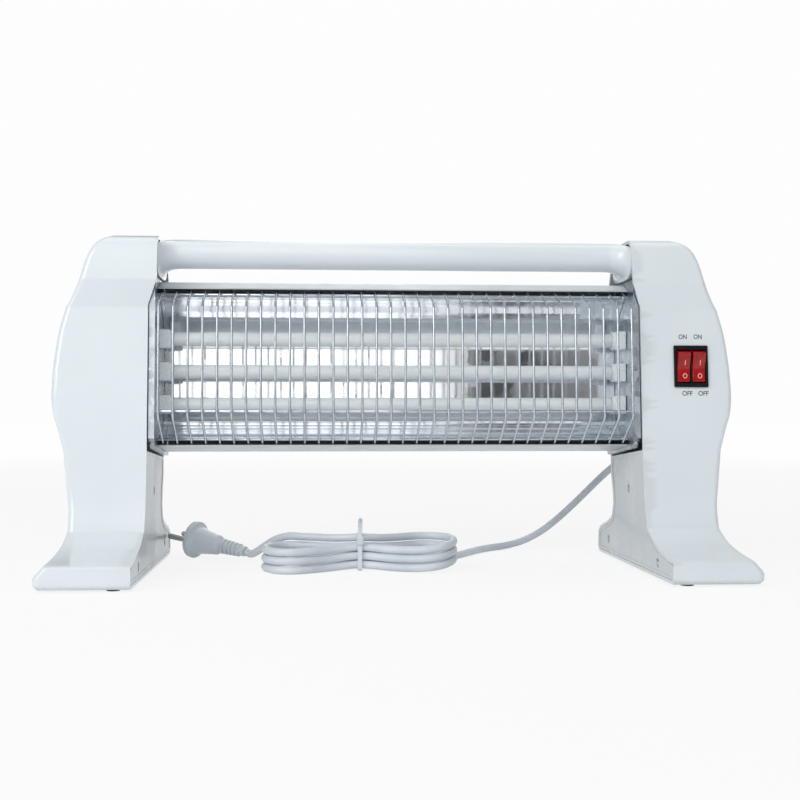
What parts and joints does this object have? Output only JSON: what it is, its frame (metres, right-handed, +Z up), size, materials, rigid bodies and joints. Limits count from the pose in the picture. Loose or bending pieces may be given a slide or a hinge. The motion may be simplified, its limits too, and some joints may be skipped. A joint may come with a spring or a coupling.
{
  "type": "quartz heater",
  "caption": "Low quartz heater on two moulded side housings that are its legs, with a wire guard before a polished trough, a carrying bar, a double rocker switch and a tied mains lead.",
  "frame": {"origin": "on the floor, midway between the two housings and midway between toes and heels", "axes": "+X along the carrying bar towards the housing with the switch, +Y from the guard to the back, +Z up"},
  "size_m": [0.521, 0.2471, 0.2585],
  "materials": {
    "white_gloss_plastic": "glossy cool white moulded plastic",
    "grey_cover_plastic": "semi-gloss pale grey moulded plastic",
    "red_plastic": "glossy red translucent-looking rocker keys",
    "black_plastic": "satin black switch frame",
    "cord_plastic": "satin pale grey cord sheath",
    "rubber": "dull black rubber",
    "galvanised_steel": "galvanised sheet with a faint spangle",
    "painted_sheet": "pale stoved enamel",
    "polished_sheet": "polished reflector sheet",
    "bright_wire": "bright plated steel wire",
    "screw_steel": "nickel-plated",
    "frosted_quartz": "frosted, milky quartz",
    "white_ceramic": "unglazed white steatite",
    "resistance_wire": "oxidised resistance wire"
  },
  "bodies": {
    "heater": {"back_panel": "painted_sheet", "carrying_bar": "white_gloss_plastic", "ceramic_cap_left_lower": "white_ceramic", "ceramic_cap_left_middle": "white_ceramic", "ceramic_cap_left_upper": "white_ceramic", "ceramic_cap_right_lower": "white_ceramic", "ceramic_cap_right_middle": "white_ceramic", "ceramic_cap_right_upper": "white_ceramic", "cord_gland": "cord_plastic", "cord_hank": "cord_plastic", "cord_tie": "white_gloss_plastic", "guard_grille": "bright_wire", "heating_coil_lower": "resistance_wire", "heating_coil_middle": "resistance_wire", "heating_coil_upper": "resistance_wire", "left_cover_screw_1": "screw_steel", "left_cover_screw_2": "screw_steel", "left_cover_screw_3": "screw_steel", "left_end_plate": "galvanised_steel", "left_heel_foot": "rubber", "left_inner_cover": "grey_cover_plastic", "left_link_strip": "galvanised_steel", "left_plate_screw": "screw_steel", "left_shell": "white_gloss_plastic", "left_toe_foot": "rubber", "plug_body": "white_gloss_plastic", "plug_lead": "cord_plastic", "plug_pin_1": "screw_steel", "plug_pin_2": "screw_steel", "power_cord": "cord_plastic", "quartz_tube_lower": "frosted_quartz", "quartz_tube_middle": "frosted_quartz", "quartz_tube_upper": "frosted_quartz", "reflector": "polished_sheet", "right_cover_screw_1": "screw_steel", "right_cover_screw_2": "screw_steel", "right_cover_screw_3": "screw_steel", "right_end_plate": "galvanised_steel", "right_heel_foot": "rubber", "right_inner_cover": "grey_cover_plastic", "right_plate_screw": "screw_steel", "right_shell": "white_gloss_plastic", "right_terminal_lower": "galvanised_steel", "right_terminal_middle": "galvanised_steel", "right_terminal_upper": "galvanised_steel", "right_toe_foot": "rubber", "switch_body": "black_plastic"},
    "rocker_left": {"rocker_left": "red_plastic"},
    "rocker_right": {"rocker_right": "red_plastic"}
  },
  "joints": [
    {"name": "rocker_left_tilt", "type": "hinge", "parent": "heater", "child": "rocker_left", "pos_m": [0.2216, -0.02414, 0.15911], "axis": [-1, 0, 0], "range_deg": [0, 20]},
    {"name": "rocker_right_tilt", "type": "hinge", "parent": "heater", "child": "rocker_right", "pos_m": [0.2334, -0.02414, 0.15911], "axis": [-1, 0, 0], "range_deg": [0, 20]}
  ]
}
